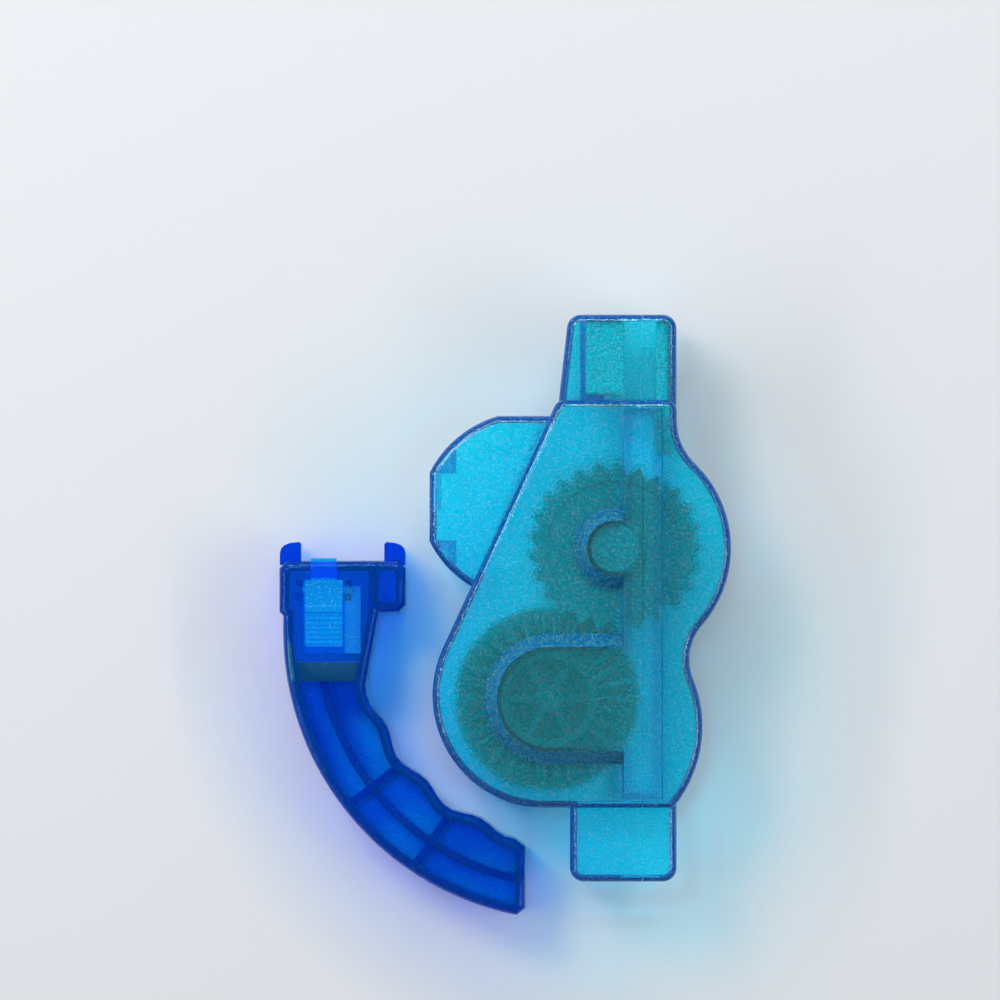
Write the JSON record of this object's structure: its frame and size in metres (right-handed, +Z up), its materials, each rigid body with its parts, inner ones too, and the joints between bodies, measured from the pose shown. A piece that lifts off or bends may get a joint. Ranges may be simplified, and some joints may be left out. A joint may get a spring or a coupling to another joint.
{
  "type": "bicycle chain cleaner",
  "caption": "Clear blue clip-on bicycle chain cleaner with toothed and drum brush wheels, sponges, a reservoir lobe, and a separate curved handle with a press latch, laid beside it.",
  "frame": {"origin": "centre of the bounding box's bottom face, on the surface that the cleaner lies on", "axes": "+Y along the chain's path towards the neck with the sponges, +X from the tank to the lid across the parting plane, +Z up, across the chain's width"},
  "size_m": [0.1048, 0.1396, 0.037],
  "materials": {
    "housing_clear": "clear cyan-blue moulded plastic, glossy, deeper blue along its thick edges",
    "lid_clear": "clear cyan-blue moulded plastic, glossy, deeper blue along its thick edges",
    "sponge": "dark grey open-cell foam",
    "wheel_plastic": "grey moulded plastic",
    "drum_plastic": "dark grey moulded plastic",
    "bristle": "grey nylon bristles",
    "handle_plastic": "clear royal-blue moulded plastic, glossy",
    "latch_plastic": "clear royal-blue moulded plastic with a ridged pad"
  },
  "bodies": {
    "housing": {"tank": "housing_clear", "lower_sponge": "sponge"},
    "lid": {"lid": "lid_clear", "upper_sponge": "sponge"},
    "side_wheel": {"side_disc_front": "wheel_plastic", "side_disc_back": "wheel_plastic", "wheel_spindle": "wheel_plastic", "side_bristles_front": "bristle", "side_bristles_back": "bristle"},
    "drum_wheel": {"drum_core": "drum_plastic", "drum_cap_front": "drum_plastic", "drum_cap_back": "drum_plastic", "drum_bristles": "bristle"},
    "handle": {"handle": "handle_plastic"},
    "latch": {"handle_latch": "latch_plastic"}
  },
  "joints": [
    {"name": "lid_lift", "type": "slide", "parent": "housing", "child": "lid", "axis": [1, 0, 0], "range_m": [0, 0.04]},
    {"name": "side_wheel_spin", "type": "hinge", "parent": "housing", "child": "side_wheel", "pos_m": [0.02534, 0.01638, 0.0185], "axis": [0, 0, 1], "continuous": true},
    {"name": "drum_wheel_spin", "type": "hinge", "parent": "housing", "child": "drum_wheel", "pos_m": [0.01024, -0.01849, 0.0185], "axis": [0, 0, 1], "continuous": true},
    {"name": "handle_lift", "type": "slide", "parent": "housing", "child": "handle", "axis": [0, 0, 1], "range_m": [0, 0.06]},
    {"name": "latch_press", "type": "hinge", "parent": "handle", "child": "latch", "pos_m": [-0.04214, 0.00642, 0.0174], "axis": [1, 0, 0], "range_deg": [0, 5], "stiffness_Nm_per_rad": 0.3}
  ]
}
